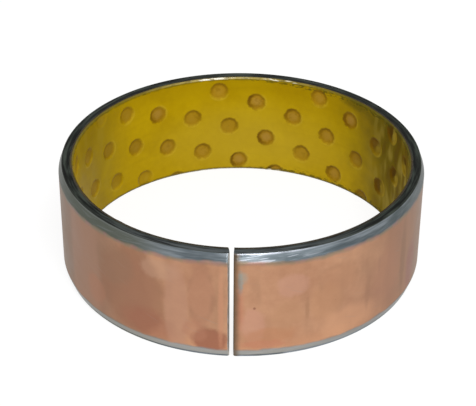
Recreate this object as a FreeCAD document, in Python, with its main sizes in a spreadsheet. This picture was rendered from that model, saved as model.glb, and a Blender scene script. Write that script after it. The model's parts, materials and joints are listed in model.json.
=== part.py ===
import FreeCAD, Part
import math
import os
import Sketcher

# Wrapped camshaft bushing: a flat strip of steel, sintered bronze and acetal, bonded in layers
# and rolled into a ring with a narrow open joint. All sizes are in millimetres.
# The origin is the centre of the lower end face, +Z runs along the bore, the joint faces -Y.

os.makedirs("parts", exist_ok=True)
doc = FreeCAD.newDocument("camshaft_bushing")
axisZ = FreeCAD.Vector(0, 0, 1)

# Driving sizes: alias, value and meaning
drivingSizes = (
    ("boreDiameter", 55, "running diameter inside the lining"),
    ("wallThickness", 2.5, "whole strip, all layers"),
    ("bushWidth", 19, "end face to end face"),
    ("liningThickness", 0.3, "acetal running layer"),
    ("interlayerThickness", 0.3, "sintered bronze between steel and acetal"),
    ("endChamferLength", 1.5, "turned outer chamfer, measured along the bore"),
    ("endChamferAngle", 20, "degrees between the outer chamfer and the bore axis"),
    ("boreEdgeBreak", 0.25, "45 degree edge break on the lining's ends"),
    ("jointGap", 0.6, "open joint between the two strip ends"),
    ("jointCornerRadius", 0.45, "rounding of the strip ends' outer corners"),
    ("indentDiameter", 3.3, "round grease indent"),
    ("indentRowPitch", 7.17, "indent to indent along a row of the flat strip"),
    ("indentRowAngle", 18.2, "degrees that a row climbs clockwise round the bore"),
    ("indentColumnPitch", 7.43, "indent to indent along a column of the flat strip"),
    ("indentColumnAngle", 104.3, "degrees from the strip's length to a column"),
    ("indentStartAcross", -3.55, "first indent, along the strip from the point opposite the joint"),
    ("indentStartAbove", 9.21, "first indent, above the lower end face"),
)

sizes = doc.addObject("Spreadsheet::Sheet", "Sizes")
for row, (alias, value, meaning) in enumerate(drivingSizes, start=1):
    sizes.set(f"A{row}", meaning)
    sizes.set(f"B{row}", str(value))
    sizes.setAlias(f"B{row}", alias)
doc.recompute()

# Radii of the layers, as expressions on the sheet
boreRadius = "Sizes.boreDiameter / 2"
liningBack = "(Sizes.boreDiameter / 2 + Sizes.liningThickness)"
steelBore = "(Sizes.boreDiameter / 2 + Sizes.liningThickness + Sizes.interlayerThickness)"
outerRadius = "(Sizes.boreDiameter / 2 + Sizes.wallThickness)"
endChamferDepth = "Sizes.endChamferLength * tan(Sizes.endChamferAngle * 1 deg)"


def valueOf(expression):
    """The present value of an expression on the sheet, as a plain number."""
    result = sizes.evalExpression(expression)
    return float(getattr(result, "Value", result))


def makeBody(label):
    body = doc.addObject("PartDesign::Body", label)
    body.Label = label
    return body


def makeSketch(body, name, planeRole):
    sketch = body.newObject("Sketcher::SketchObject", name)
    plane = next(item for item in body.Origin.OriginFeatures if item.Role == planeRole)
    sketch.AttachmentSupport = [(plane, "")]
    sketch.MapMode = "FlatFace"
    return sketch


def drawOutline(sketch, corners):
    """Straight lines from corner to corner, each joined to the next, and the last to the first."""
    count = len(corners)
    for index in range(count):
        start = FreeCAD.Vector(*corners[index], 0)
        end = FreeCAD.Vector(*corners[(index + 1) % count], 0)
        sketch.addGeometry(Part.LineSegment(start, end))
    for index in range(count):
        sketch.addConstraint(Sketcher.Constraint("Coincident", index, 2, (index + 1) % count, 1))


def drive(sketch, name, kind, points, expression):
    """A named dimension between points of the sketch, bound to the sheet."""
    index = sketch.addConstraint(Sketcher.Constraint(kind, *points, valueOf(expression)))
    sketch.renameConstraint(index, name)
    sketch.setExpression("Constraints." + name, expression)


def revolveSection(body, sketch):
    ring = body.newObject("PartDesign::Revolution", body.Label + "_ring")
    ring.Profile = sketch
    ring.ReferenceAxis = (sketch, ["V_Axis"])
    ring.Angle = 360
    sketch.Visibility = False
    doc.recompute()
    return ring


def cutJoint(body):
    """The open joint: a slot with parallel sides right through one layer, at -Y."""
    margin = valueOf("Sizes.wallThickness")
    near = valueOf(boreRadius) - margin
    far = valueOf(outerRadius) + margin
    half = valueOf("Sizes.jointGap / 2")
    sketch = makeSketch(body, body.Label + "_joint_outline", "XY_Plane")
    drawOutline(sketch, [(-half, -far), (half, -far), (half, -near), (-half, -near)])
    sketch.addConstraint(Sketcher.Constraint("Horizontal", 0))
    sketch.addConstraint(Sketcher.Constraint("Vertical", 1))
    sketch.addConstraint(Sketcher.Constraint("Vertical", 3))
    sketch.addConstraint(Sketcher.Constraint("Symmetric", 2, 1, 2, 2, -2))
    drive(sketch, "gap", "DistanceX", (0, 1, 0, 2), "Sizes.jointGap")
    drive(sketch, "nearSide", "DistanceY", (1, 2, -1, 1), boreRadius + " - Sizes.wallThickness")
    drive(sketch, "farSide", "DistanceY", (0, 1, -1, 1), outerRadius + " + Sizes.wallThickness")
    slot = body.newObject("PartDesign::Pocket", body.Label + "_joint")
    slot.Profile = sketch
    slot.Type = "ThroughAll"
    slot.Reversed = True
    sketch.Visibility = False
    before = body.Shape.Volume
    doc.recompute()
    if body.Shape.Volume >= before:
        raise RuntimeError(body.Label + ": the joint cuts nothing")
    return slot


# Steel backing: the strip's section with a turned chamfer at each outer edge
def makeSteelBacking():
    body = makeBody("steel_backing")
    inner = valueOf(steelBore)
    outer = valueOf(outerRadius)
    width = valueOf("Sizes.bushWidth")
    length = valueOf("Sizes.endChamferLength")
    depth = valueOf(endChamferDepth)
    sketch = makeSketch(body, "steel_section", "XZ_Plane")
    drawOutline(sketch, [
        (inner, 0), (outer - depth, 0), (outer, length),
        (outer, width - length), (outer - depth, width), (inner, width),
    ])
    sketch.addConstraint(Sketcher.Constraint("Horizontal", 0))
    sketch.addConstraint(Sketcher.Constraint("Horizontal", 4))
    sketch.addConstraint(Sketcher.Constraint("Vertical", 2))
    sketch.addConstraint(Sketcher.Constraint("Vertical", 5))
    sketch.addConstraint(Sketcher.Constraint("PointOnObject", 0, 1, -1))
    sketch.addConstraint(Sketcher.Constraint("Equal", 0, 4))
    sketch.addConstraint(Sketcher.Constraint("Equal", 1, 3))
    drive(sketch, "innerRadius", "DistanceX", (-1, 1, 5, 2), steelBore)
    drive(sketch, "outerRadius", "DistanceX", (-1, 1, 2, 1), outerRadius)
    drive(sketch, "width", "DistanceY", (5, 2, 5, 1), "Sizes.bushWidth")
    drive(sketch, "chamferLength", "DistanceY", (1, 1, 1, 2), "Sizes.endChamferLength")
    drive(sketch, "chamferDepth", "DistanceX", (1, 1, 1, 2), endChamferDepth)
    revolveSection(body, sketch)
    slot = cutJoint(body)
    roundJointCorners(body, slot)
    return body


def roundJointCorners(body, slot):
    """Rounds the strip ends' outer corners, between the two end chamfers."""
    side = valueOf("Sizes.jointGap / 2")
    outside = valueOf(outerRadius)
    tolerance = 1e-4
    corners = []
    for number, edge in enumerate(slot.Shape.Edges, start=1):
        points = [vertex.Point for vertex in edge.Vertexes]
        atJoint = all(abs(abs(point.x) - side) < tolerance for point in points)
        onOutside = all(math.hypot(point.x, point.y) > outside - tolerance for point in points)
        if atJoint and onOutside:
            corners.append(f"Edge{number}")
    rounding = body.newObject("PartDesign::Fillet", "joint_corner_rounding")
    rounding.Base = (slot, corners)
    rounding.setExpression("Radius", "Sizes.jointCornerRadius")
    slot.Visibility = False


# Bronze interlayer: a plain layer between the steel and the acetal
def makeBronzeInterlayer():
    body = makeBody("bronze_interlayer")
    inner = valueOf(liningBack)
    outer = valueOf(steelBore)
    width = valueOf("Sizes.bushWidth")
    sketch = makeSketch(body, "bronze_section", "XZ_Plane")
    drawOutline(sketch, [(inner, 0), (outer, 0), (outer, width), (inner, width)])
    sketch.addConstraint(Sketcher.Constraint("Horizontal", 0))
    sketch.addConstraint(Sketcher.Constraint("Horizontal", 2))
    sketch.addConstraint(Sketcher.Constraint("Vertical", 1))
    sketch.addConstraint(Sketcher.Constraint("Vertical", 3))
    sketch.addConstraint(Sketcher.Constraint("PointOnObject", 0, 1, -1))
    drive(sketch, "innerRadius", "DistanceX", (-1, 1, 0, 1), liningBack)
    drive(sketch, "outerRadius", "DistanceX", (-1, 1, 0, 2), steelBore)
    drive(sketch, "width", "DistanceY", (3, 2, 3, 1), "Sizes.bushWidth")
    revolveSection(body, sketch)
    cutJoint(body)
    return body


# Acetal lining: the running layer, its bore edges broken, with rows of round grease indents
def makeLiningStrip():
    body = makeBody("lining_strip")
    inner = valueOf(boreRadius)
    outer = valueOf(liningBack)
    width = valueOf("Sizes.bushWidth")
    edge = valueOf("Sizes.boreEdgeBreak")
    sketch = makeSketch(body, "lining_section", "XZ_Plane")
    drawOutline(sketch, [
        (inner + edge, 0), (outer, 0), (outer, width),
        (inner + edge, width), (inner, width - edge), (inner, edge),
    ])
    sketch.addConstraint(Sketcher.Constraint("Horizontal", 0))
    sketch.addConstraint(Sketcher.Constraint("Horizontal", 2))
    sketch.addConstraint(Sketcher.Constraint("Vertical", 1))
    sketch.addConstraint(Sketcher.Constraint("Vertical", 4))
    sketch.addConstraint(Sketcher.Constraint("PointOnObject", 0, 1, -1))
    sketch.addConstraint(Sketcher.Constraint("Equal", 0, 2))
    sketch.addConstraint(Sketcher.Constraint("Equal", 3, 5))
    drive(sketch, "boreRadius", "DistanceX", (-1, 1, 4, 1), boreRadius)
    drive(sketch, "backRadius", "DistanceX", (-1, 1, 1, 1), liningBack)
    drive(sketch, "width", "DistanceY", (1, 1, 1, 2), "Sizes.bushWidth")
    drive(sketch, "edgeHeight", "DistanceY", (5, 2, 5, 1), "Sizes.boreEdgeBreak")
    drive(sketch, "edgeDepth", "DistanceX", (5, 1, 5, 2), "Sizes.boreEdgeBreak")
    revolveSection(body, sketch)
    cutJoint(body)
    return body


def indentPlaces():
    """Every indent of the lattice that touches the strip: distance along it, height above its edge.

    The strip lies flat here. A place is the first indent plus whole steps along a row and a column.
    """
    halfLength = math.pi * valueOf(boreRadius) - valueOf("Sizes.jointGap / 2")
    width = valueOf("Sizes.bushWidth")
    radius = valueOf("Sizes.indentDiameter / 2")
    rowPitch = valueOf("Sizes.indentRowPitch")
    rowAngle = math.radians(-valueOf("Sizes.indentRowAngle"))
    columnPitch = valueOf("Sizes.indentColumnPitch")
    columnAngle = math.radians(valueOf("Sizes.indentColumnAngle"))
    startAcross = valueOf("Sizes.indentStartAcross")
    startAbove = valueOf("Sizes.indentStartAbove")
    reach = math.ceil(2 * (halfLength + width) / min(rowPitch, columnPitch))
    places = []
    for column in range(-reach, reach + 1):
        for row in range(-reach, reach + 1):
            across = startAcross + column * rowPitch * math.cos(rowAngle)
            across += row * columnPitch * math.cos(columnAngle)
            above = startAbove + column * rowPitch * math.sin(rowAngle)
            above += row * columnPitch * math.sin(columnAngle)
            if abs(across) < halfLength + radius and -radius < above < width + radius:
                places.append((across, above))
    return places


def makeAcetalLining():
    """The lining strip with a round punch cut through it at every indent, down to the bronze."""
    strip = makeLiningStrip()
    radius = valueOf(boreRadius)
    start = radius - valueOf("Sizes.wallThickness")
    punches = []
    for number, (across, above) in enumerate(indentPlaces(), start=1):
        punch = doc.addObject("Part::Cylinder", f"indent_{number}")
        punch.setExpression("Radius", "Sizes.indentDiameter / 2")
        punch.setExpression("Height", "2 * Sizes.wallThickness")
        angle = 90 - math.degrees(across / radius)
        outward = FreeCAD.Vector(math.cos(math.radians(angle)), math.sin(math.radians(angle)), 0)
        place = outward * start
        place.z = above
        turn = FreeCAD.Rotation(axisZ, FreeCAD.Vector(), outward, "ZXY")
        punch.Placement = FreeCAD.Placement(place, turn)
        punches.append(punch)
    tool = doc.addObject("Part::Compound", "indent_punches")
    tool.Links = punches
    lining = doc.addObject("Part::Cut", "acetal_lining")
    lining.Label = "acetal_lining"
    lining.Base = strip
    lining.Tool = tool
    return lining


pieces = [makeSteelBacking(), makeBronzeInterlayer(), makeAcetalLining()]
doc.recompute()

for item in doc.Objects:
    if "Invalid" in item.State or "Error" in item.State:
        raise RuntimeError(item.Label + " did not compute: " + ", ".join(item.State))
for piece in pieces:
    shape = piece.Shape
    if shape.isNull() or not shape.isValid() or len(shape.Solids) != 1:
        raise RuntimeError(piece.Label + " is not one valid solid")
    print(piece.Label, "volume", round(shape.Volume, 2), "mm3")
for piece in pieces:
    piece.Shape.exportStep(f"parts/{piece.Label}.step")
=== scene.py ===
# Camshaft bushing: a wrapped steel strip, copper-flashed outside, with a yellow indented lining.
import json
import math

import bpy
import numpy as np
from mathutils import Matrix, Vector


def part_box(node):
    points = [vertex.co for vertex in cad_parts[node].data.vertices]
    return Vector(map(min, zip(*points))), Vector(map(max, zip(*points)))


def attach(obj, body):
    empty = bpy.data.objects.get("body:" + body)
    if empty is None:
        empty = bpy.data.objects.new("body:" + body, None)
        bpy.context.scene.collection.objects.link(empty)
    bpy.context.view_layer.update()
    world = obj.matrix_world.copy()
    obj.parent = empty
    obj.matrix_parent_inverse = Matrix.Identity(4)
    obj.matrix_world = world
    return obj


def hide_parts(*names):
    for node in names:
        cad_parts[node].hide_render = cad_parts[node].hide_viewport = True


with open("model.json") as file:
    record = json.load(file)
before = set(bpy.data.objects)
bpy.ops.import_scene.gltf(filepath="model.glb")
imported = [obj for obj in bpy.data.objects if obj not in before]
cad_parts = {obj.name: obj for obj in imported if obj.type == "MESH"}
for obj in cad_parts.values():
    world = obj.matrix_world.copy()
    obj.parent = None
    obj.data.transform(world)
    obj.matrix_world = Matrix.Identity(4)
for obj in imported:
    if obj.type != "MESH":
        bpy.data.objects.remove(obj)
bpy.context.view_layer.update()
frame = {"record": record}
mm = 0.001
print("frame loaded")

# Sizes that every piece shares, read from the frame, in millimetres
boreMount = next(m for m in frame["record"]["mounts"] if m["name"] == "bore")
bush = {
    "boreRadius": boreMount["dims"]["r_mm"],
    "liningRadius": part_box("acetal_lining")[1].x / mm,  # back of the lining
    "bronzeRadius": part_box("bronze_interlayer")[1].x / mm,  # back of the bronze
    "outerRadius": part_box("steel_backing")[1].x / mm,
    "width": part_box("steel_backing")[1].z / mm,
    "jointGap": 0.6,  # open joint, both faces parallel
    "cornerPullBack": 0.6,  # rounded inner corner of the left strip end: along the strip
    "cornerReach": 2.3,  # through the wall
    "cornerStretch": 1.2,  # length over which it fades out
}
bush["stripLength"] = 2 * math.pi * bush["outerRadius"] - bush["jointGap"]


# Mesh tools

# Corner points of a section become an outline with round corners: each corner gives way to an arc
# tangent to its two sides, and guard points keep the flats flat beside the arcs. Returns the
# points and their outward normals, anticlockwise with the radius to the right and height up.
def roundedOutline(corners, radii, steps, guard, spacing):
    corners = np.asarray(corners, float)
    points, normals = [], []
    arcs = []
    for k, corner in enumerate(corners):
        before = corners[k - 1] - corner
        after = corners[(k + 1) % len(corners)] - corner
        before /= np.linalg.norm(before)
        after /= np.linalg.norm(after)
        half = np.arccos(np.clip(before @ after, -1, 1)) / 2
        reach = radii[k] / np.tan(half)
        inward = (before + after) / np.linalg.norm(before + after)
        centre = corner + inward * radii[k] / np.sin(half)
        start, end = corner + before * reach, corner + after * reach
        turn = np.linspace(0, 1, steps + 1)[:, None]
        first, last = (start - centre) / radii[k], (end - centre) / radii[k]
        sweep = np.arccos(np.clip(first @ last, -1, 1))
        ray = (np.sin((1 - turn) * sweep) * first + np.sin(turn * sweep) * last) / np.sin(sweep)
        arcs.append((centre + ray * radii[k], ray))
    for k, (arc, ray) in enumerate(arcs):
        points.append(arc)
        normals.append(ray)
        start, end = arc[-1], arcs[(k + 1) % len(arcs)][0][0]
        run = np.linalg.norm(end - start)
        inner = max(run - 2 * guard, 0)
        count = max(int(np.ceil(inner / spacing)), 1)
        shares = np.array([0.5])
        if run > 2.5 * guard:
            shares = (guard + np.linspace(0, 1, count + 1) * inner) / run
        points.append(start + shares[:, None] * (end - start))
        normals.append(np.repeat(ray[-1:], len(shares), 0))
    return np.concatenate(points), np.concatenate(normals)


# Shares of the strip's length, from 0 at the joint's right face to 1 at its left face: close
# together where a corner is rounded, even elsewhere.
def stripShares(endSteps, spacing):
    length = bush["stripLength"]
    ends = np.asarray(endSteps)
    count = int(round((length - 2 * ends[-1]) / spacing))
    middle = np.linspace(ends[-1], length - ends[-1], count + 1)[1:-1]
    return np.concatenate((ends, middle, length - ends[::-1])) / length


# A point of the strip wrapped round the bore axis: its share of the turn left over by the joint
# gives the angle from the joint, at each radius its own, so that both joint faces stay flat.
def wrapStrip(share, radius, height):
    halfGap = np.arcsin(bush["jointGap"] / 2 / radius)
    angle = halfGap + share * (2 * np.pi - 2 * halfGap)
    return np.stack((radius * np.sin(angle), -radius * np.cos(angle), height), -1)


# Rings of points become a closed shell: quads between neighbouring rings, closed round the
# section, and a flat cap on the first and last ring.
def shellFromRings(name, share, radius, height, attributes):
    rings, around = radius.shape
    points = wrapStrip(share, radius, height) * mm
    index = np.arange(rings * around).reshape(rings, around)
    following = np.roll(index, -1, 1)
    quads = np.stack((index[:-1], index[1:], following[1:], following[:-1]), -1).reshape(-1, 4)
    faces = quads.tolist() + [index[0].tolist(), index[-1, ::-1].tolist()]
    mesh = bpy.data.meshes.new(name)
    mesh.from_pydata(points.reshape(-1, 3).tolist(), [], faces)
    strip = np.stack((share * bush["stripLength"] * np.ones_like(radius), height,
                      bush["outerRadius"] - radius), -1)
    layer = mesh.attributes.new("strip", "FLOAT_VECTOR", "POINT")
    layer.data.foreach_set("vector", strip.astype(np.float32).ravel())
    for key, values in attributes.items():
        values = np.broadcast_to(values, radius.shape).astype(np.float32)
        layer = mesh.attributes.new(key, "FLOAT", "POINT")
        layer.data.foreach_set("value", values.ravel())
    mesh.polygons.foreach_set("use_smooth", np.ones(len(mesh.polygons), bool))
    mesh.validate()
    piece = bpy.data.objects.new(name, mesh)
    bpy.context.scene.collection.objects.link(piece)
    return piece


# A quarter round at both strip ends: the first rings are the outline drawn in by
# b(1 - sin a) at the distance b(1 - cos a) from the joint face.
def endRounding(share, bevel):
    distance = np.minimum(share, 1 - share) * bush["stripLength"]
    inside = np.clip(1 - distance / bevel, 0, 1)
    return bevel * (1 - np.sqrt(1 - inside ** 2))


# The left strip end has its inner corner rounded off as a quarter of an ellipse: at the height d
# above the bore it is drawn back by p(1 - sqrt(1 - (1 - d/h)^2)), with p the pull-back and h the
# reach, fading out over the last stretch.
def roundedInside(share, radius):
    above = np.clip(1 - (radius - bush["boreRadius"]) / bush["cornerReach"], 0, 1)
    pull = bush["cornerPullBack"] * (1 - np.sqrt(1 - above ** 2))
    fade = np.clip(1 - (1 - share) * bush["stripLength"] / bush["cornerStretch"], 0, 1)
    return share - pull * fade / bush["stripLength"]


# Smooth noise along a line: seeded random values at even steps, joined by cosine blends.
def waver(places, step, seed):
    random = np.random.default_rng(seed)
    values = random.uniform(-1, 1, int(np.max(places) / step) + 3)
    cell = np.floor(places / step).astype(int)
    part = (1 - np.cos(np.pi * (places / step - cell))) / 2
    return values[cell] * (1 - part) + values[cell + 1] * part


# Steel backing

backing = {
    "chamferLength": 1.5,
    "chamferAngle": 20.0,
    "rimRadius": 0.07,  # rim between the end face and the chamfer
    "shoulderRadius": 0.7,  # where the chamfer runs into the outside
    "seatRadius": 0.02,
    "jointCornerRadius": 0.45,
    "endBevel": 0.04,
    "ringSpacing": 0.3,
    "waviness": 0.012,  # handling dents and flats of the outside
    "dentLength": 9.0,
}


# The section is a rectangle with a chamfer at both outer corners. Near the joint its outside
# drops by R - sqrt(R^2 - (R - s)^2), with s the distance from the joint face, and shrinks in
# proportion towards the seat.
def makeSteelBacking():
    inner, outer, width = bush["bronzeRadius"], bush["outerRadius"], bush["width"]
    length = backing["chamferLength"]
    rim = outer - length * math.tan(math.radians(backing["chamferAngle"]))
    corners = [(inner, 0), (rim, 0), (outer, length),
               (outer, width - length), (rim, width), (inner, width)]
    seat, edge, shoulder = backing["seatRadius"], backing["rimRadius"], backing["shoulderRadius"]
    radii = [seat, edge, shoulder, shoulder, edge, seat]
    outline, normals = roundedOutline(corners, radii, steps=4, guard=0.03, spacing=0.9)
    bevel, corner = backing["endBevel"], backing["jointCornerRadius"]
    quarter = 1 - np.cos(np.linspace(0, np.pi / 2, 5))
    steps = np.concatenate((bevel * quarter, corner * quarter, [corner + 0.05]))
    share = stripShares(np.unique(np.round(steps, 5)), backing["ringSpacing"])[:, None]
    distance = np.minimum(share, 1 - share) * bush["stripLength"]
    left = np.clip(corner - distance, 0, None)
    drop = corner - np.sqrt(corner ** 2 - left ** 2)
    inset = endRounding(share, bevel)
    radius = outline[:, 0] - normals[:, 0] * inset * (normals[:, 0] < 0.5)
    height = outline[:, 1] - normals[:, 1] * inset
    outward = (outline[:, 0] - inner) / (outer - inner)
    radius = radius - drop * outward
    arc = share * bush["stripLength"]
    dents = backing["waviness"] * (waver(arc, backing["dentLength"], 3) - 1) / 2 * outward
    radius = radius + dents * np.clip(distance / 2, 0, 1)  # none at the joint faces
    return shellFromRings("steelBacking", roundedInside(share, radius), radius, height, {})


# Bronze interlayer

interlayer = {"edgeRadius": 0.02, "ringSpacing": 0.6, "setBack": 0.03}


# A plain rectangle between the lining and the steel, its end faces set back a hair.
def makeBronzeInterlayer():
    inner, outer, width = bush["liningRadius"], bush["bronzeRadius"], bush["width"]
    back = interlayer["setBack"]
    corners = [(inner, back), (outer, back), (outer, width - back), (inner, width - back)]
    radii = [interlayer["edgeRadius"]] * 4
    outline, normals = roundedOutline(corners, radii, steps=2, guard=0.02, spacing=3.0)
    share = stripShares([0, 0.02, 0.05], interlayer["ringSpacing"])[:, None]
    inset = endRounding(share, interlayer["edgeRadius"])
    radius = outline[:, 0] - normals[:, 0] * inset
    height = outline[:, 1] - normals[:, 1] * inset
    return shellFromRings("bronzeInterlayer", roundedInside(share, radius), radius, height, {})


# Acetal lining

lining = {
    "edgeBreak": 0.25,
    "indentDiameter": 3.3,
    "wallDepth": 0.045,  # the wall lies this much behind the lips' crests
    "indentDepth": 0.22,
    "indentWall": 0.42,  # how far the side of an indent leans in
    "lipHeight": 0.05,  # material pushed up round an indent
    "lipWidth": 0.42,
    "lipPlace": 0.12,  # its crest, outside the rim
    "rowPitch": 7.17,
    "rowAngle": 18.2,
    "columnPitch": 7.43,
    "columnAngle": 104.3,
    "startAcross": -3.55,  # first indent, from the point opposite the joint
    "startAbove": 9.21,
    "faintAbove": 18.6,  # indents centred above this height are cut by the top end and faint
    "rimReach": 0.1,  # grid points this near to a rim's circle are drawn onto it
    "jointMargin": 0.4,  # but not this near to the joint
    "floorRise": 0.03,  # raised middle of some floors
    "arcSpacing": 0.206,
    "heightSpacing": 0.206,
    "endBevel": 0.03,
    "ripple": 0.009,  # slow waviness of the bore
    "crease": 0.03,  # creases that run up the wall right of the joint
    "creaseArc": 56.0,
    "creaseSpread": 10.0,
    "edgeNotch": 0.05,  # unevenness of the broken edges
    "greaseBearing": 2.4,  # side of an indent where its shade is painted, and how far that varies
    "bearingSpread": 2.6,
}


# Distance of each strip point from its nearest indent centre, and that indent's random number.
# The lattice is oblique: a point's place in rows and columns is rounded to whole steps.
def indentField(across, above):
    row = math.radians(-lining["rowAngle"])
    column = math.radians(lining["columnAngle"])
    steps = np.array([[lining["rowPitch"] * math.cos(row), lining["columnPitch"] * math.cos(column)],
                      [lining["rowPitch"] * math.sin(row), lining["columnPitch"] * math.sin(column)]])
    offset = np.stack((across - lining["startAcross"], above - lining["startAbove"]))
    whole = np.round(np.tensordot(np.linalg.inv(steps), offset, 1))
    nearest = np.full(across.shape, 1e9)
    towards = np.zeros((2,) + across.shape)
    seed = np.zeros(across.shape)
    for i in (-1, 0, 1):
        for j in (-1, 0, 1):
            cell = whole + np.array([i, j]).reshape(2, *[1] * across.ndim)
            arm = offset - np.tensordot(steps, cell, 1)
            far = np.hypot(*arm)
            closer = far < nearest
            nearest = np.where(closer, far, nearest)
            towards = np.where(closer, arm, towards)
            chance = np.sin(cell[0] * 12.9898 + cell[1] * 78.233) * 43758.5453
            seed = np.where(closer, chance - np.floor(chance), seed)
    return nearest, towards, seed


# The bore wall is a sheet of depth over the strip. Each indent is a dish: its side leans in by a
# soft step 3t^2 - 2t^3, with t the share of the way in from the rim. The lip round it is a bell
# e^(-x^2), with x counted from its crest, higher in places. The bore's edges are broken at 45
# degrees. Grid lines near a rim are drawn onto its circle, so that the rims are round.
def makeAcetalLining():
    bore, back, width = bush["boreRadius"], bush["liningRadius"], bush["width"]
    rim, edge = lining["indentDiameter"] / 2, lining["edgeBreak"]
    share = stripShares([0, 0.01, 0.03, 0.1], lining["arcSpacing"])[:, None]
    rows = int((width - 2 * edge) / lining["heightSpacing"])
    wall = np.linspace(width - edge, edge, rows + 1)
    breaks = np.array([0.0, 0.02, 0.05, 0.1, 0.15, 0.2])
    behind = [0.02, 0.5, width - 0.5, width - 0.02]
    height = np.concatenate((behind, width - breaks, wall, breaks[::-1]))
    onBore = np.arange(len(height)) >= len(behind)
    height = np.ones_like(share) * height
    angle = share * 2 * np.pi
    across = bore * (np.pi - angle) * np.ones_like(height)
    far, arm, seed = indentField(across, height)
    inField = onBore & (height > edge * 1.01) & (height < width - edge * 1.01)
    inField &= np.minimum(share, 1 - share) * bush["stripLength"] > lining["jointMargin"]
    drawn = far.copy()
    for circle in (rim + lining["lipPlace"], rim, rim - lining["indentWall"]):
        drawn = np.where(np.abs(far - circle) < lining["rimReach"], circle, drawn)
    scale = np.where(inField, drawn / np.maximum(far, 1e-6), 1.0)
    across = across + arm[0] * (scale - 1)
    height = height + arm[1] * (scale - 1)
    share = 0.5 - across / (2 * np.pi * bore)
    far = np.where(inField, drawn, far)

    slope = np.clip((rim - far) / lining["indentWall"], 0, 1)
    dish = lining["indentDepth"] * slope ** 2 * (3 - 2 * slope)
    dish = dish * (0.85 + 0.15 * seed) - lining["floorRise"] * np.clip(1 - far / rim, 0, 1) * seed
    bearing = np.arctan2(arm[1], arm[0])
    fromCrest = far - rim - lining["lipPlace"]
    lip = lining["lipHeight"] * np.exp(-(fromCrest / lining["lipWidth"] * 2) ** 2)
    lip = lip * (0.25 + 0.75 * np.sin(1.5 * bearing + 9 * seed) ** 2)
    pressedIn = np.clip(lining["faintAbove"] - (height - arm[1]), 0.04, 1)
    dish, lip = dish * pressedIn, lip * pressedIn
    arc = share * bush["stripLength"]
    above = np.clip(height, 0, None)
    ripple = lining["ripple"] * (waver(arc, 2.6, 5) + waver(above + arc / 6, 3.4, 6))
    creased = np.exp(-((arc - lining["creaseArc"]) / lining["creaseSpread"]) ** 2)
    ripple = ripple + lining["crease"] * creased * waver(arc + 0.8 * waver(above, 3.0, 12), 1.5, 11)
    fromEnd = np.minimum(height, width - height)
    notch = lining["edgeNotch"] * np.clip(waver(arc, 0.7, 8) + 0.5 * waver(arc, 5.0, 9), 0, 1) + 0.02
    broken = np.clip(edge + notch - fromEnd, 0, edge - 0.01)
    depth = np.maximum(dish, broken) + lining["wallDepth"] + ripple * (fromEnd > 0.1) - lip
    radius = bore + np.clip(depth, 0, back - bore - 0.01)
    radius = np.where(onBore, radius, back)
    inset = endRounding(share, lining["endBevel"])
    radius = radius + np.where(onBore, inset, -inset)
    # The side of each indent where its shade is painted.
    shadeSide = np.cos(bearing - lining["greaseBearing"] - lining["bearingSpread"] * (seed - 0.5))
    return shellFromRings("acetalLining", roundedInside(share, radius), radius, height,
                          {"indentDistance": np.where(onBore, far, 9.0), "indentSeed": seed,
                           "indentShadeSide": shadeSide, "indentPressed": pressedIn})


steelBacking = makeSteelBacking()
bronzeInterlayer = makeBronzeInterlayer()
acetalLining = makeAcetalLining()
print("pieces made")


# Node tools

# Linear colour from the 0 to 255 numbers that a colour picker shows.
def paint(red, green, blue):
    shown = np.array([red, green, blue]) / 255
    linear = np.where(shown <= 0.04045, shown / 12.92, ((shown + 0.055) / 1.055) ** 2.4)
    return (*linear.tolist(), 1.0)


# A node with its settings; a value that is a socket is linked, any other is set on the input.
def put(tree, kind, values=None, **settings):
    node = tree.nodes.new(kind)
    for key, value in settings.items():
        setattr(node, key, value)
    for key, value in (values or {}).items():
        if isinstance(value, bpy.types.NodeSocket):
            tree.links.new(value, node.inputs[key])
        else:
            node.inputs[key].default_value = value
    return node


# One step of arithmetic on numbers or sockets.
def sums(tree, operation, first, second=0.0, third=0.0, clamp=False):
    return put(tree, "ShaderNodeMath", {0: first, 1: second, 2: third},
               operation=operation, use_clamp=clamp).outputs[0]


# Product of two or more.
def times(tree, first, *others):
    for other in others:
        first = sums(tree, "MULTIPLY", first, other)
    return first


# first * second + third
def timesPlus(tree, first, second, third, clamp=False):
    return sums(tree, "MULTIPLY_ADD", first, second, third, clamp)


def minus(tree, first, second):
    return sums(tree, "SUBTRACT", first, second)


def larger(tree, first, second):
    return sums(tree, "MAXIMUM", first, second)


def smaller(tree, first, second):
    return sums(tree, "MINIMUM", first, second)


# Distance of a value from a place, on either side of it.
def apart(tree, value, place):
    return sums(tree, "ABSOLUTE", minus(tree, value, place))


# The first colour where the factor is 0, the second where it is 1.
def blend(tree, factor, first, second):
    return put(tree, "ShaderNodeMix", {0: factor, 6: first, 7: second}, data_type="RGBA").outputs[2]


# Soft step 3t^2 - 2t^3 from start to end, with t the value's share of the way from low to high.
def remap(tree, value, low, high, start=0.0, end=1.0):
    return put(tree, "ShaderNodeMapRange",
               {"Value": value, "From Min": low, "From Max": high, "To Min": start, "To Max": end},
               interpolation_type="SMOOTHSTEP").outputs[0]


# The strip's arc, height and depth, each multiplied by its own number.
def stretched(tree, vector, scale):
    return put(tree, "ShaderNodeMapping", {"Vector": vector, "Scale": scale}).outputs[0]


# The same with sockets: one scale along the strip, another across it.
def drawnOut(tree, vector, along, across):
    scale = put(tree, "ShaderNodeCombineXYZ", {0: along, 1: across, 2: across}).outputs[0]
    return put(tree, "ShaderNodeVectorMath", {0: vector, 1: scale}, operation="MULTIPLY").outputs[0]


def noise(tree, vector, scale, detail, roughness, distortion=0.0):
    return put(tree, "ShaderNodeTexNoise",
               {"Vector": vector, "Scale": scale, "Detail": detail, "Roughness": roughness,
                "Distortion": distortion}).outputs[0]


# A value that the mesh carries at its points.
def carried(tree, name, output="Fac"):
    return put(tree, "ShaderNodeAttribute", attribute_name=name,
               attribute_type="GEOMETRY").outputs[output]


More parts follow.
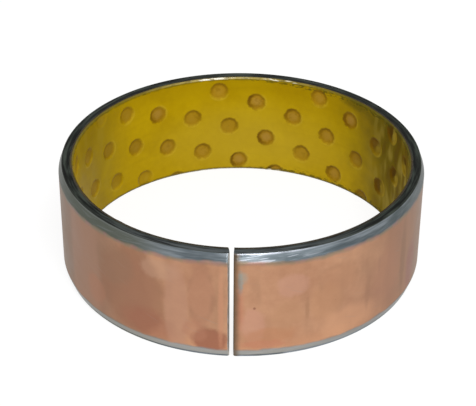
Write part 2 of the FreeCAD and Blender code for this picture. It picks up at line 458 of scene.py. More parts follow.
# Small relief bends the normal of a finish; the depth is in metres.
def addRelief(tree, shader, relief, strength, depth):
    bump = put(tree, "ShaderNodeBump", {"Strength": strength, "Distance": depth, "Height": relief})
    tree.links.new(bump.outputs[0], shader.inputs["Normal"])


plainValue, vectorValue = "NodeSocketFloat", "NodeSocketVector"


# An empty node group with named inputs and outputs.
def newGroup(name, inputs, outputs):
    group = bpy.data.node_groups.new(name, "ShaderNodeTree")
    for title, kind, value in inputs:
        socket = group.interface.new_socket(title, in_out="INPUT", socket_type=kind)
        if value is not None:
            socket.default_value = value
    for title in outputs:
        group.interface.new_socket(title, in_out="OUTPUT", socket_type=plainValue)
    return group, group.nodes.new("NodeGroupInput").outputs, group.nodes.new("NodeGroupOutput").inputs


def useGroup(tree, group, values):
    return put(tree, "ShaderNodeGroup", values, node_tree=group).outputs


# A stain, patch or speck at its place on the strip: the distance from its centre in its own
# sizes, made ragged by noise, then a soft step about 1. Edge is a broken line just inside it.
def makePlacedMark():
    group, given, out = newGroup("placedMark", [
        ("Strip", vectorValue, None), ("Arc", plainValue, 0.0), ("Height", plainValue, 0.0),
        ("Arc Size", plainValue, 1.0), ("Height Size", plainValue, 1.0),
        ("Ragged", plainValue, 0.5), ("Ragged Scale", plainValue, 1.0),
        ("Softness", plainValue, 0.3)], ["Mask", "Edge"])
    parts = put(group, "ShaderNodeSeparateXYZ", {0: given["Strip"]}).outputs
    wide = sums(group, "DIVIDE", minus(group, parts[0], given["Arc"]), given["Arc Size"])
    tall = sums(group, "DIVIDE", minus(group, parts[1], given["Height"]), given["Height Size"])
    far = sums(group, "SQRT", timesPlus(group, wide, wide, times(group, tall, tall)))
    grain = noise(group, given["Strip"], given["Ragged Scale"], 4.0, 0.6)
    shifted = timesPlus(group, minus(group, grain, 0.5), given["Ragged"], far)
    low = minus(group, 1.0, given["Softness"])
    high = sums(group, "ADD", 1.0, given["Softness"])
    group.links.new(remap(group, shifted, low, high, 1.0, 0.0), out["Mask"])
    edge = remap(group, apart(group, shifted, 0.9), 0.0, 0.3, 1.0, 0.0)
    broken = remap(group, noise(group, given["Strip"], 0.35, 2.0, 0.5), 0.42, 0.62)
    group.links.new(times(group, edge, broken), out["Edge"])
    return group


# Lines left by a cutting tool or a roll: noise drawn out along the strip, two widths mixed.
def makeToolLines():
    group, given, out = newGroup("toolLines", [
        ("Strip", vectorValue, None), ("Lines", plainValue, 8.0), ("Wander", plainValue, 0.04)],
        ["Lines"])
    drawn = drawnOut(group, given["Strip"], given["Wander"], given["Lines"])
    fine = noise(group, drawn, 1.0, 2.0, 0.6)
    broad = noise(group, drawn, 0.31, 1.0, 0.5)
    group.links.new(timesPlus(group, broad, 0.5, times(group, fine, 0.5)), out["Lines"])
    return group


# Thin scratches: noise turned and drawn out one way, only its highest crests kept.
def makeScratches():
    group, given, out = newGroup("scratches", [
        ("Strip", vectorValue, None), ("Turn", plainValue, 0.5), ("Density", plainValue, 2.0),
        ("Length", plainValue, 0.12), ("Amount", plainValue, 0.3)], ["Mask"])
    turn = put(group, "ShaderNodeCombineXYZ", {2: given["Turn"]}).outputs[0]
    aslant = put(group, "ShaderNodeMapping", {"Vector": given["Strip"], "Rotation": turn}).outputs[0]
    crest = noise(group, drawnOut(group, aslant, given["Length"], given["Density"]), 1.0, 1.0, 0.4)
    low = minus(group, 0.78, times(group, given["Amount"], 0.2))
    high = sums(group, "ADD", low, 0.04)
    group.links.new(remap(group, crest, low, high), out["Mask"])
    return group


# Clouding of a surface: broad and small noise mixed, spread about 0.5.
def makeClouding():
    group, given, out = newGroup("clouding", [
        ("Strip", vectorValue, None), ("Broad", plainValue, 0.12), ("Small", plainValue, 0.6),
        ("Contrast", plainValue, 2.0)], ["Value"])
    broad = noise(group, given["Strip"], given["Broad"], 2.0, 0.5, 0.6)
    small = noise(group, given["Strip"], given["Small"], 4.0, 0.6)
    both = timesPlus(group, broad, 0.65, times(group, small, 0.35))
    spread = timesPlus(group, minus(group, both, 0.5), given["Contrast"], 0.5, clamp=True)
    group.links.new(spread, out["Value"])
    return group


placedMark = makePlacedMark()
toolLines = makeToolLines()
scratches = makeScratches()
clouding = makeClouding()


# An empty finish with its shader and the strip's place at each point.
def newMaterial(name):
    material = bpy.data.materials.new(name)
    material.use_nodes = True
    tree = material.node_tree
    tree.nodes.clear()
    shader = tree.nodes.new("ShaderNodeBsdfPrincipled")
    tree.links.new(shader.outputs[0], tree.nodes.new("ShaderNodeOutputMaterial").inputs[0])
    return material, tree, shader, carried(tree, "strip", "Vector")


# A mark whose arc is counted from the middle of the joint, right of it positive.
def markFromJoint(tree, strip, arc, height, wide, high, ragged, grain, soft):
    turn = 2 * math.pi * bush["outerRadius"]
    place = (arc if arc > 0 else arc + turn) - bush["jointGap"] / 2
    return useGroup(tree, placedMark, {
        "Strip": strip, "Arc": place, "Height": height, "Arc Size": wide, "Height Size": high,
        "Ragged": ragged, "Ragged Scale": grain, "Softness": soft})


# Steel: copper flash, turned chamfers, dark end faces

copper = {
    "light": paint(200, 153, 119),
    "deep": paint(176, 128, 98),
    "brown": paint(148, 110, 84),
    "orange": paint(206, 150, 112),
    "grey": paint(150, 146, 138),
    "roughness": 0.46,
    "metal": 0.62,  # matt flash: partly scattering
    "streaks": 0.35,
    "foot": 0.45,  # orange above the lower chamfer
    "scratches": 0.14,
    "specks": 0.35,
}
# Marks on the copper: arc from the joint, height, half sizes, raggedness, softness, colour,
# strength inside, strength of the dried edge
copperMarks = [
    # The first four bands, full height out at both sides, are painted shade where the copper turns
    # from the light, the two greyer ones also a painted glancing sheen.
    (-37.0, 9.5, 19.0, 40.0, 0.5, 0.35, paint(128, 98, 80), 0.72, 0.0),
    (-44.0, 9.5, 11.0, 40.0, 0.5, 0.9, paint(128, 114, 98), 0.7, 0.0),
    (38.0, 9.5, 15.0, 40.0, 0.6, 0.5, paint(136, 101, 80), 0.6, 0.0),
    (44.5, 9.5, 8.5, 40.0, 0.5, 0.6, paint(134, 118, 104), 0.5, 0.0),
    (-27.8, 9.5, 4.2, 40.0, 0.3, 0.22, paint(166, 127, 104), 0.55, 0.0),
    (-16.4, 9.2, 6.6, 7.8, 0.5, 0.16, paint(150, 104, 78), 0.65, 0.25),
    (-15.0, 10.5, 3.6, 4.6, 0.8, 0.25, paint(156, 110, 86), 0.4, 0.0),
    (-13.4, 3.8, 4.8, 2.8, 0.8, 0.4, paint(156, 98, 76), 0.55, 0.2),
    (-20.0, 12.6, 3.8, 3.6, 0.8, 0.25, paint(146, 112, 88), 0.45, 0.0),
    (-24.5, 5.5, 2.4, 2.6, 1.2, 0.3, paint(172, 118, 90), 0.45, 0.0),
    (-11.4, 14.6, 3.2, 1.8, 1.2, 0.3, paint(190, 150, 124), 0.45, 0.0),
    (-8.6, 8.0, 1.9, 9.0, 0.35, 0.25, paint(185, 139, 114), 0.55, 0.0),
    (-4.6, 11.0, 2.1, 6.0, 0.6, 0.16, paint(172, 122, 96), 0.5, 0.3),
    (-3.4, 3.2, 2.9, 2.3, 0.8, 0.2, paint(152, 94, 72), 0.8, 0.2),
    (-5.6, 4.6, 1.8, 2.0, 1.0, 0.25, paint(176, 122, 96), 0.5, 0.0),
    (-1.6, 8.5, 0.4, 6.5, 0.9, 0.6, paint(204, 146, 114), 0.5, 0.0),
    (3.4, 6.2, 1.8, 3.2, 1.1, 0.25, paint(204, 152, 132), 0.4, 0.0),
    (6.2, 4.2, 4.0, 1.4, 1.1, 0.3, paint(186, 130, 94), 0.55, 0.0),
    (5.0, 2.6, 3.6, 0.7, 1.1, 0.3, paint(190, 124, 96), 0.5, 0.0),
    (8.5, 7.4, 2.4, 2.6, 1.2, 0.3, paint(182, 136, 102), 0.45, 0.0),
    (9.6, 13.2, 2.6, 2.0, 1.2, 0.25, paint(198, 150, 130), 0.4, 0.0),
    (15.0, 8.6, 3.0, 3.4, 1.1, 0.25, paint(184, 136, 100), 0.4, 0.0),
    (17.0, 12.6, 3.6, 2.8, 0.9, 0.3, paint(178, 130, 98), 0.4, 0.2),
    (19.5, 4.0, 5.0, 2.4, 0.9, 0.4, paint(206, 154, 118), 0.5, 0.0),
    (27.5, 8.5, 3.4, 5.4, 0.9, 0.4, paint(172, 124, 98), 0.45, 0.0),
    (32.4, 9.6, 0.9, 6.5, 0.8, 0.4, paint(136, 104, 80), 0.5, 0.0),
    (36.0, 6.0, 1.8, 4.4, 0.9, 0.4, paint(148, 102, 94), 0.55, 0.0),
    (11.8, 8.2, 0.35, 1.9, 0.8, 0.6, paint(160, 118, 88), 0.55, 0.0),
    (22.9, 7.1, 0.45, 2.4, 0.8, 0.6, paint(158, 116, 90), 0.5, 0.0),
    (25.4, 11.5, 0.3, 1.6, 0.8, 0.6, paint(160, 120, 96), 0.45, 0.0),
    (3.5, 9.4, 0.2, 0.22, 0.4, 0.6, paint(126, 80, 60), 0.7, 0.0),
    (1.35, 14.2, 0.42, 1.9, 1.3, 0.5, paint(146, 150, 142), 0.9, 0.0),
    (1.9, 15.0, 0.5, 0.9, 1.2, 0.6, paint(160, 152, 138), 0.6, 0.0),
    (1.1, 9.5, 0.7, 3.8, 0.9, 0.7, paint(190, 116, 92), 0.45, 0.0),
]
turned = {
    "blue": paint(86, 95, 100),
    "pale": paint(134, 142, 148),
    "dull": paint(84, 87, 76),
    "groove": paint(64, 72, 74),
    "paintedLight": paint(190, 195, 206),
    "lower": paint(170, 167, 161),
    "greenTint": paint(104, 116, 100),
    "violetTint": paint(132, 110, 112),
    "black": paint(12, 15, 12),
    "worn": paint(60, 67, 60),
    "pressed": paint(86, 91, 93),  # where the ends were pushed home, either side of the joint
    "rim": paint(62, 66, 58),
    "cut": paint(186, 178, 166),
    "brownCut": paint(98, 80, 58),
    "roughness": 0.32,
    "reflection": (0.7, 0.7, 0.7, 1.0),
    "boundaryWander": 0.9,  # unevenness of the boundary between copper and steel
    "tinting": 0.45,  # heat tint along the upper boundary
}


# The copper flash: two browns clouded together, streaks up the strip, orange along the foot, then
# the marks, among them painted shade towards both sides, fine scratches and specks one over the other.
def copperColour(tree, strip, height, cloud, fineScratch):
    colour = blend(tree, cloud, copper["deep"], copper["light"])
    streak = noise(tree, stretched(tree, strip, (0.3, 0.06, 1)), 1.0, 2.0, 0.5)
    streaked = remap(tree, streak, 0.45, 0.75, 0.0, copper["streaks"])
    colour = blend(tree, streaked, colour, copper["brown"])
    colour = blend(tree, remap(tree, height, 1.5, 4.5, copper["foot"], 0.0), colour, copper["orange"])
    for place, above, wide, high, ragged, soft, tint, strength, edging in copperMarks:
        grain = 0.6 / min(wide, high, 3.0)
        mark = markFromJoint(tree, strip, place, above, wide, high, ragged, grain, soft)
        colour = blend(tree, times(tree, mark["Mask"], strength), colour, tint)
        if edging:
            colour = blend(tree, times(tree, mark["Edge"], edging), colour, copper["brown"])
    colour = blend(tree, times(tree, fineScratch, copper["scratches"]), colour, copper["grey"])
    specks = remap(tree, noise(tree, strip, 3.1, 1.0, 0.5), 0.74, 0.8)
    return blend(tree, times(tree, specks, copper["specks"]), colour, copper["brown"])


# Bare steel of the chamfers: blue and pale tones with dark tool lines, painted darker away from the
# joint as shade, painted highlights right of it in slanting strokes and along the rim, and a paler
# painted reflection of the floor on the lower chamfer.
def bareSteelColour(tree, strip, arc, toLeft, height, fromEnd, lines, tone):
    colour = blend(tree, remap(tree, tone, 0.38, 0.66), turned["blue"], turned["pale"])
    colour = blend(tree, remap(tree, lines, 0.35, 0.6, 0.4, 0.0), colour, turned["groove"])
    # Painted shade: the chamfer darker away from the joint, where it turns from the light.
    shadedAway = times(tree, remap(tree, toLeft, 7.0, 17.0, 0.0, 0.85), remap(tree, arc, 14.0, 60.0))
    colour = blend(tree, shadedAway, colour, turned["dull"])
    # Painted highlights right of the joint: slanting strokes, and a band along the rim.
    nearJoint = remap(tree, arc, 4.0, 16.0, 1.0, 0.1)
    highlightStrokes = useGroup(tree, scratches, {"Strip": strip, "Turn": -0.1, "Density": 3.4,
                                         "Length": 0.2, "Amount": 0.9})[0]
    colour = blend(tree, times(tree, highlightStrokes, nearJoint, 0.5), colour, turned["paintedLight"])
    rimHighlight = times(tree, remap(tree, fromEnd, 0.08, 0.34, 1.0, 0.0), remap(tree, tone, 0.38, 0.52))
    colour = blend(tree, times(tree, rimHighlight, nearJoint, 0.9), colour, turned["paintedLight"])
    # Painted reflection of the floor: the lower chamfer paler, its bottom edge left darker as painted
    # contact shadow.
    lower = times(tree, remap(tree, height, 2.0, 1.2), remap(tree, height, 0.25, 0.6),
                  remap(tree, smaller(tree, arc, toLeft), 5.0, 22.0, 0.82, 0.66))
    return blend(tree, lower, colour, turned["lower"])


# End faces: near black with worn patches, greyer by the joint where the ends were pushed home, a
# lighter ring along the outer rim.
def endFaceColour(tree, strip, arc, toLeft, below):
    tone = noise(tree, stretched(tree, strip, (0.15, 1, 2.2)), 1.0, 3.0, 0.6)
    colour = blend(tree, remap(tree, tone, 0.42, 0.66), turned["black"], turned["worn"])
    pressed = times(tree, remap(tree, smaller(tree, arc, toLeft), 4.0, 30.0, 0.9, 0.0),
                    remap(tree, tone, 0.36, 0.56, 0.2, 1.0),
                    remap(tree, below, 1.9, 1.3, 0.15, 1.0))
    colour = blend(tree, pressed, colour, turned["pressed"])
    return blend(tree, remap(tree, below, 0.75, 0.6, 0.0, 0.6), colour, turned["rim"])


# Copper where the outside is not turned away, bare steel on the chamfers, near black on the end
# faces; each boundary is a soft step on the place in the strip, made uneven by noise.
def makeSteelFinish():
    material, tree, shader, strip = newMaterial("copperFlashedSteel")
    arc, height, below = put(tree, "ShaderNodeSeparateXYZ", {0: strip}).outputs
    toLeft = minus(tree, bush["stripLength"], arc)
    fromEnd = smaller(tree, height, minus(tree, bush["width"], height))
    cloud = useGroup(tree, clouding, {"Strip": strip, "Broad": 0.1, "Small": 0.55, "Contrast": 3.0})[0]
    fineScratch = useGroup(tree, scratches, {"Strip": strip, "Turn": 0.35, "Density": 3.0,
                                             "Length": 0.15, "Amount": 0.35})[0]
    lines = useGroup(tree, toolLines, {"Strip": strip, "Lines": 7.0, "Wander": 0.035})[0]
    tone = noise(tree, stretched(tree, strip, (0.09, 0.6, 0.6)), 1.0, 3.0, 0.6)
    flash = copperColour(tree, strip, height, cloud, fineScratch)
    bare = bareSteelColour(tree, strip, arc, toLeft, height, fromEnd, lines, tone)

    chamfer = backing["chamferLength"]
    onTop = remap(tree, height, 8.0, 10.0)
    wobble = noise(tree, stretched(tree, strip, (0.3, 0.5, 1)), 1.0, 2.0, 0.5)
    boundary = timesPlus(tree, minus(tree, wobble, 0.5), turned["boundaryWander"], fromEnd)
    nearer = larger(tree, remap(tree, toLeft, 9.0, 2.0, 0.0, 0.18),
                    remap(tree, arc, 7.0, 2.0, 0.0, 0.4))
    boundary = timesPlus(tree, nearer, onTop, boundary)
    leftBare = remap(tree, timesPlus(tree, wobble, 0.2, toLeft), 0.26, 0.44)
    isCopper = times(tree, remap(tree, boundary, chamfer - 0.2, chamfer + 0.4), leftBare)
    colour = blend(tree, isCopper, bare, flash)
    tinted = times(tree, remap(tree, boundary, chamfer - 0.2, chamfer + 0.2),
                   remap(tree, boundary, chamfer + 0.3, chamfer + 0.9, 1.0, 0.0),
                   onTop, turned["tinting"])
    tint = blend(tree, remap(tree, noise(tree, strip, 0.5, 2.0, 0.5), 0.44, 0.56),
                 turned["greenTint"], turned["violetTint"])
    colour = blend(tree, tinted, colour, tint)
    leftCut = remap(tree, toLeft, 0.02, 0.32, 0.95, 0.0)
    colour = blend(tree, leftCut, colour, turned["cut"])
    rightCut = remap(tree, timesPlus(tree, wobble, 0.5, arc), 0.4, 1.6, 0.85, 0.0)
    colour = blend(tree, rightCut, colour, turned["brownCut"])
    isEnd = remap(tree, fromEnd, 0.008, 0.03, 1.0, 0.0)
    colour = blend(tree, isEnd, colour, endFaceColour(tree, strip, arc, toLeft, below))
    tree.links.new(colour, shader.inputs["Base Color"])
    scatter = times(tree, larger(tree, isCopper, leftCut), 1.0 - copper["metal"])
    tree.links.new(minus(tree, 1.0, scatter), shader.inputs["Metallic"])
    shader.inputs["Specular Tint"].default_value = turned["reflection"]

    copperRough = timesPlus(tree, cloud, 0.12, copper["roughness"] - 0.06)
    bareRough = timesPlus(tree, tone, 0.2, turned["roughness"] - 0.1)
    rough = put(tree, "ShaderNodeMix", {0: isCopper, 2: bareRough, 3: copperRough}, data_type="FLOAT")
    tree.links.new(rough.outputs[0], shader.inputs["Roughness"])

    relief = times(tree, noise(tree, strip, 9.0, 3.0, 0.6), 0.35)
    relief = timesPlus(tree, lines, timesPlus(tree, isCopper, -0.8, 1.0), relief)
    relief = timesPlus(tree, isCopper, 0.25, relief)
    relief = minus(tree, relief, times(tree, fineScratch, 0.3))
    addRelief(tree, shader, relief, 0.35, 0.00003)
    return material


# Bronze: dull and porous, with a painted sheen opposite the joint

bronze = {
    "dull": paint(74, 60, 38),
    "dark": paint(34, 30, 22),
    "paintedSheen": paint(132, 120, 70),  # painted sheen opposite the joint
    "roughness": 0.55,
    "metal": 0.8,
}


# Round pores, dark in their middles, over dull clouds; a painted sheen opposite the joint.
def makeBronzeFinish():
    material, tree, shader, strip = newMaterial("sinteredBronze")
    arc = put(tree, "ShaderNodeSeparateXYZ", {0: strip}).outputs[0]
    pores = put(tree, "ShaderNodeTexVoronoi", {"Vector": strip, "Scale": 9.0}).outputs[0]
    cloud = useGroup(tree, clouding, {"Strip": strip, "Broad": 0.3, "Small": 2.5, "Contrast": 2.0})[0]
    colour = blend(tree, cloud, bronze["dark"], bronze["dull"])
    colour = blend(tree, remap(tree, pores, 0.0, 0.5, 0.6, 0.0), colour, bronze["dark"])
    # Painted sheen: paler opposite the joint, where the end face catches the light.
    opposite = times(tree, remap(tree, arc, 76.0, 94.0, 0.0, 0.6),
                     remap(tree, arc, 103.0, 120.0, 1.0, 0.1),
                     remap(tree, cloud, 0.3, 0.6, 0.3, 1.0))
    colour = blend(tree, opposite, colour, bronze["paintedSheen"])
    tree.links.new(colour, shader.inputs["Base Color"])
    shader.inputs["Metallic"].default_value = bronze["metal"]
    tree.links.new(remap(tree, pores, 0.0, 0.6, 0.7, bronze["roughness"]), shader.inputs["Roughness"])
    addRelief(tree, shader, pores, 0.5, 0.00005)
    return material


# Lining: mottled yellow acetal, the indents' floors stained tan

acetal = {
    "yellow": paint(202, 170, 6),
    "deep": paint(180, 147, 0),
    "shade": paint(148, 118, 0),
    "paintedLight": paint(212, 182, 54),
    "floor": paint(170, 129, 24),
    "floorPale": paint(186, 146, 64),
    "ring": paint(130, 95, 6),
    "grease": paint(88, 54, 10),  # painted shade on one side of an indent and in the creases
    "rightIndentShade": paint(84, 57, 8),  # painted shade in the indents at the right, turned from the light
    "oldGrease": paint(136, 103, 16),  # old greasy deposits in the indents at the left
    "olive": paint(104, 90, 12),
    "cutEdge": paint(80, 76, 18),
    "frontDark": paint(20, 20, 14),
    "paintedSheen": paint(188, 168, 84),
    "paintedCreaseLight": paint(176, 156, 66),
    "glint": paint(240, 236, 216),
    "roughness": 0.36,
    "ior": 1.12,  # low, so that the grease-dulled wall doesn't turn grey at a glancing view
    "litArc": 92.0,  # places along the strip from its right end
    "rightCreaseArc": 55.0,
    "leftCreaseArc": 133.0,
    "glintArc": 101.2,
    "secondGlintArc": 87.6,
}
# Olive marks on the wall: full-height bands on both side walls and the broad faint patch are painted
# shade, the small ones by the top edge greasy marks; arc from the joint, height, half sizes, strength
greaseMarks = [
    (54.0, 9.5, 14.0, 40.0, 0.8),
    (-57.0, 12.0, 8.0, 40.0, 0.35),
    (60.0, 15.0, 5.0, 4.0, 0.4),
    (62.0, 17.6, 7.0, 1.4, 0.6),
    (71.0, 18.2, 3.0, 0.9, 0.7),
    (68.0, 13.0, 8.0, 7.0, 0.18),
]


# The running wall: yellow clouds, darker towards the top, a painted pool of light opposite the joint,
# olive marks (painted shade on both side walls, greasy by the top edge), and painted shade and painted
# light in streaks up the creased walls at both sides.
def wallColour(tree, strip, height, cloud, creased):
    colour = blend(tree, cloud, acetal["deep"], acetal["yellow"])
    colour = blend(tree, remap(tree, height, 12.0, 18.5, 0.0, 0.45), colour, acetal["shade"])
    streak = noise(tree, stretched(tree, strip, (0.08, 1.1, 1)), 1.0, 2.0, 0.5)
    colour = blend(tree, remap(tree, streak, 0.52, 0.75, 0.0, 0.12), colour, acetal["shade"])
    # Painted pool of light opposite the joint.
    lit = useGroup(tree, placedMark, {
        "Strip": strip, "Arc": acetal["litArc"], "Height": 6.0, "Arc Size": 17.0, "Height Size": 6.0,
        "Ragged": 0.8, "Ragged Scale": 0.15, "Softness": 0.8})[0]
    colour = blend(tree, times(tree, lit, 0.45), colour, acetal["paintedLight"])
    for place, above, wide, high, strength in greaseMarks:
        mark = markFromJoint(tree, strip, place, above, wide, high, 0.7, 0.25, 0.6)
        colour = blend(tree, times(tree, mark["Mask"], strength), colour, acetal["olive"])
    # Painted shade and painted light in streaks along the creases of both side walls.
    crease = noise(tree, stretched(tree, strip, (0.42, 0.17, 1)), 1.0, 1.0, 0.4)
    darker = times(tree, creased, remap(tree, crease, 0.56, 0.7, 0.0, 0.35))
    colour = blend(tree, darker, colour, acetal["grease"])
    paler = times(tree, creased, remap(tree, crease, 0.54, 0.38, 0.0, 0.7))
    return blend(tree, paler, colour, acetal["paintedCreaseLight"])


# The indents, by the distance from the nearest centre: a tan floor, darkened by old greasy deposits
# at the left and painted dark as shade at the right, a brown ring along the foot of the side, painted
# darker on one side as shade, and a lip with a painted highlight. At the right only that shaded side
# shows. Returns the colour and the mask of the floors.
def addIndents(tree, colour, strip, arc, height, stain):
    far, seed = carried(tree, "indentDistance"), carried(tree, "indentSeed")
    shadeSide = carried(tree, "indentShadeSide")
    rim = lining["indentDiameter"] / 2
    fray = timesPlus(tree, minus(tree, noise(tree, strip, 1.3, 3.0, 0.6), 0.5), 0.8, far)
    rubbedLow = times(tree, remap(tree, arc, 104.0, 116.0), remap(tree, height, 3.6, 1.4, 0.0, 0.55))
    pressed = times(tree, remap(tree, carried(tree, "indentPressed"), 0.1, 1.0),
                    minus(tree, 1.0, rubbedLow))
    # At the right the floor fades on the lit side, so that only the painted shade shows.
    fadedOnLitSide = times(tree, remap(tree, arc, 74.0, 60.0), remap(tree, shadeSide, 0.55, -0.25, 0.0, 0.8))
    inFloor = times(tree, remap(tree, fray, rim - 0.5, rim + 0.2, 1.0, 0.0), pressed,
                    timesPlus(tree, seed, 0.25, 0.75), minus(tree, 1.0, fadedOnLitSide),
                    remap(tree, arc, 106.0, 130.0, 1.0, 0.75))
    onRing = times(tree, remap(tree, fray, rim - 0.15, rim + 0.2, 1.0, 0.0),
                   remap(tree, fray, rim - 0.75, rim - 0.25), pressed,
                   remap(tree, arc, 102.0, 124.0, 1.0, 0.5))
    # Painted highlight on the lip, on the side away from the painted shade.
    onLip = times(tree, remap(tree, far, rim + 0.45, rim + 0.15),
                  remap(tree, shadeSide, -0.1, -0.9, 0.0, 0.3), pressed,
                  remap(tree, arc, 72.0, 52.0, 1.0, 1.7))

    middle = times(tree, remap(tree, fray, rim - 1.3, rim - 0.4, 1.0, 0.0),
                   timesPlus(tree, seed, 0.7, 0.1))
    floor = blend(tree, middle, acetal["floor"], acetal["floorPale"])
    floor = blend(tree, remap(tree, stain, 0.5, 0.75, 0.0, 0.5), floor, acetal["ring"])
    # Painted shade: the floors on the right wall dark.
    floor = blend(tree, remap(tree, arc, 76.0, 60.0, 0.0, 0.95), floor, acetal["rightIndentShade"])
    floor = blend(tree, remap(tree, arc, 102.0, 126.0, 0.0, 0.7), floor, acetal["oldGrease"])
    colour = blend(tree, onLip, colour, acetal["paintedLight"])
    colour = blend(tree, inFloor, colour, floor)
    # Painted shade: the ring darker on one side and dark brown further round it.
    brown = times(tree, onRing, remap(tree, shadeSide, -0.8, 0.9, 0.25, 0.6))
    colour = blend(tree, brown, colour, acetal["ring"])
    greased = times(tree, onRing, remap(tree, shadeSide, 0.1, 0.95, 0.0, 0.5),
                    remap(tree, seed, 0.35, 0.8))
    return blend(tree, greased, colour, acetal["grease"]), inFloor


# The edges at both ends: olive with chips, a painted sheen where broken opposite the joint, with two
# painted glints, and near black at the front.
def addEndEdges(tree, colour, arc, fromEnd, onBreak, offGlint, chips, stain):
    chipped = times(tree, remap(tree, chips, 0.48, 0.62), remap(tree, arc, 96.0, 82.0, 0.1, 0.7))
    uneven = minus(tree, timesPlus(tree, stain, 0.4, fromEnd), chipped)
    colour = blend(tree, remap(tree, uneven, 0.35, 0.85, 0.75, 0.0), colour, acetal["cutEdge"])
    # Painted sheen on the broken edge opposite the joint.
    opposite = times(tree, remap(tree, arc, 72.0, 92.0), remap(tree, arc, 103.0, 118.0, 1.0, 0.1),
                     remap(tree, chips, 0.36, 0.56, 0.1, 0.7))
    colour = blend(tree, times(tree, onBreak, opposite), colour, acetal["paintedSheen"])
    toJoint = smaller(tree, arc, minus(tree, bush["stripLength"], arc))
    atFront = remap(tree, toJoint, 26.0, 44.0, 1.0, 0.0)
    colour = blend(tree, times(tree, onBreak, atFront), colour, acetal["frontDark"])
    # Painted glints: a second group among the chips, and the main one at the glint arc.
    offSecond = apart(tree, arc, acetal["secondGlintArc"])
    secondGlints = times(tree, remap(tree, chips, 0.5, 0.6, 0.0, 0.8),
                  remap(tree, offSecond, 2.0, 4.0, 1.0, 0.0))
    glint = times(tree, remap(tree, offGlint, 1.8, 3.0, 0.95, 0.0), remap(tree, chips, 0.4, 0.5))
    return blend(tree, times(tree, onBreak, larger(tree, secondGlints, glint)), colour, acetal["glint"])


# Wall, indents and end edges one over the other; a coat shines on the broken edges near the
# glint.
def makeLiningFinish():
    material, tree, shader, strip = newMaterial("yellowAcetal")
    arc, height, _ = put(tree, "ShaderNodeSeparateXYZ", {0: strip}).outputs
    fromEnd = smaller(tree, height, minus(tree, bush["width"], height))
    cloud = useGroup(tree, clouding, {"Strip": strip, "Broad": 0.14, "Small": 0.9, "Contrast": 2.2})[0]
    stain = noise(tree, strip, 1.1, 3.0, 0.6)
    chips = noise(tree, stretched(tree, strip, (0.9, 3, 3)), 1.0, 2.0, 0.6)
    onBreak = remap(tree, fromEnd, 0.2, 0.3, 1.0, 0.0)
    offGlint = apart(tree, arc, acetal["glintArc"])
    offRight = apart(tree, arc, acetal["rightCreaseArc"])
    offLeft = apart(tree, arc, acetal["leftCreaseArc"])
    creased = larger(tree, remap(tree, offRight, 4.0, 14.0, 1.0, 0.0),
                     remap(tree, offLeft, 3.0, 12.0, 0.2, 0.0))
    colour = wallColour(tree, strip, height, cloud, creased)
    colour, inFloor = addIndents(tree, colour, strip, arc, height, stain)
    colour = addEndEdges(tree, colour, arc, fromEnd, onBreak, offGlint, chips, stain)
    tree.links.new(colour, shader.inputs["Base Color"])
    shader.inputs["IOR"].default_value = acetal["ior"]
    shader.inputs["Coat Roughness"].default_value = 0.2
    coated = times(tree, onBreak, remap(tree, offGlint, 4.0, 22.0, 0.8, 0.1))
    tree.links.new(coated, shader.inputs["Coat Weight"])

    rough = timesPlus(tree, cloud, 0.16, acetal["roughness"] - 0.08)
    rough = timesPlus(tree, creased, 0.25, rough)
    tree.links.new(timesPlus(tree, inFloor, 0.15, rough), shader.inputs["Roughness"])
    peel = noise(tree, strip, 2.4, 2.0, 0.5)
    relief = timesPlus(tree, noise(tree, strip, 11.0, 2.0, 0.5), 0.3, peel)
    addRelief(tree, shader, relief, 0.3, 0.00004)
    return material


# Each piece with the node that it stands for, its finish and the finish's slot in the record
dressed = (
    (steelBacking, "steel_backing", makeSteelFinish(), "copper_flashed_steel"),
    (bronzeInterlayer, "bronze_interlayer", makeBronzeFinish(), "sintered_bronze"),
    (acetalLining, "acetal_lining", makeLiningFinish(), "yellow_acetal"),
)
for piece, node, finish, slotName in dressed:
    piece.data.materials.append(finish)
    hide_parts(node)
    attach(piece, "root")
print("finishes made")


# Studio

studio = {
    "floorSize": 4.0,
    "floorGlow": 0.8,  # share of the floor that glows white, the rest takes the shadow
    "glowLevel": 1.08,
    "ambient": 0.52,
    "bounce": 0.48,  # white of the floor as the object's own surfaces see it
}
# Lamps: azimuth right of the joint, elevation, distance, width, height, irradiance at the object
lamps = {
    "keyLamp": (20.0, 52.0, 0.9, 0.3, 0.3, 1.75),
    "fillLamp": (-70.0, 32.0, 1.0, 0.4, 0.4, 0.16),
    "lowLamp": (8.0, 6.5, 0.6, 0.05, 0.05, 0.2),
    "stripLamp": (34.0, 7.5, 0.6, 0.42, 0.05, 0.2),
}


# White for the camera and for reflections, plain for the light that falls on the object.
def lightPathLevel(tree, seen, other):
    path = tree.nodes.new("ShaderNodeLightPath").outputs
    mirrored = larger(tree, path["Is Glossy Ray"], path["Is Transmission Ray"])
    direct = larger(tree, path["Is Camera Ray"], mirrored)
    return timesPlus(tree, direct, seen - other, other)


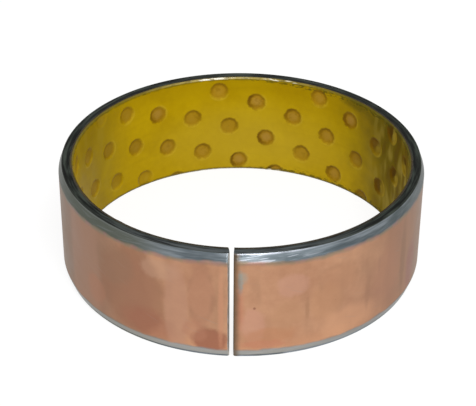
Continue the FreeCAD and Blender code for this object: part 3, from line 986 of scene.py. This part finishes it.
# A white world, and a sheet of white paper that glows in part and takes the bush's shadow.
def makeStudio():
    world = bpy.data.worlds.new("studio")
    bpy.context.scene.world = world
    world.use_nodes = True
    tree = world.node_tree
    tree.nodes.clear()
    background = put(tree, "ShaderNodeBackground",
                     {"Color": (1, 1, 1, 1), "Strength": lightPathLevel(tree, 1.0, studio["ambient"])})
    tree.links.new(background.outputs[0], tree.nodes.new("ShaderNodeOutputWorld").inputs[0])

    half = studio["floorSize"] / 2
    mesh = bpy.data.meshes.new("floor")
    corners = [(-half, -half, 0), (half, -half, 0), (half, half, 0), (-half, half, 0)]
    mesh.from_pydata(corners, [], [(0, 1, 2, 3)])
    floor = bpy.data.objects.new("floor", mesh)
    bpy.context.scene.collection.objects.link(floor)
    material = bpy.data.materials.new("whitePaper")
    material.use_nodes = True
    tree = material.node_tree
    tree.nodes.clear()
    glow = put(tree, "ShaderNodeEmission",
               {"Strength": lightPathLevel(tree, studio["glowLevel"], studio["bounce"])})
    matt = put(tree, "ShaderNodeBsdfDiffuse", {"Color": (0.9, 0.9, 0.9, 1)})
    mixed = put(tree, "ShaderNodeMixShader",
                {0: studio["floorGlow"], 1: matt.outputs[0], 2: glow.outputs[0]})
    tree.links.new(mixed.outputs[0], tree.nodes.new("ShaderNodeOutputMaterial").inputs[0])
    mesh.materials.append(material)


# From the bush towards a lamp or the camera, the azimuth counted from the joint to the right.
def direction(azimuth, elevation):
    turn, rise = math.radians(azimuth), math.radians(elevation)
    level = math.cos(rise)
    return Vector((math.sin(turn) * level, -math.cos(turn) * level, math.sin(rise)))


# A flat lamp aimed at the bush: its power is irradiance times pi times the distance squared.
def makeLamp(name, azimuth, elevation, distance, width, height, irradiance):
    towards = direction(azimuth, elevation)
    data = bpy.data.lights.new(name, "AREA")
    data.shape = "RECTANGLE"
    data.size = width
    data.size_y = height
    data.energy = irradiance * math.pi * distance ** 2
    lamp = bpy.data.objects.new(name, data)
    lamp.location = towards * distance + Vector((0, 0, bush["width"] * mm / 2))
    lamp.rotation_euler = towards.to_track_quat("Z", "Y").to_euler()
    bpy.context.scene.collection.objects.link(lamp)


makeStudio()
for name, values in lamps.items():
    makeLamp(name, *values)

# Camera: fitted to the outlines of both rims in the photo
view = {
    "azimuth": 2.71,
    "elevation": 31.799,
    "distance": 251.64,
    "target": (-0.5095, 0.0, 9.548),
    "lens": 113.52,
    "roll": 0.391,
}


def makeCamera():
    back = direction(view["azimuth"], view["elevation"])
    data = bpy.data.cameras.new("camera")
    data.lens = view["lens"]
    data.sensor_width = 36
    data.clip_start = 0.01
    camera = bpy.data.objects.new("camera", data)
    place = Matrix.Translation((Vector(view["target"]) + back * view["distance"]) * mm)
    camera.matrix_world = (place @ back.to_track_quat("Z", "Y").to_matrix().to_4x4()
                           @ Matrix.Rotation(math.radians(view["roll"]), 4, "Z"))
    bpy.context.scene.collection.objects.link(camera)
    bpy.context.scene.camera = camera


makeCamera()
bpy.context.scene.view_settings.view_transform = "Standard"
print("studio made")
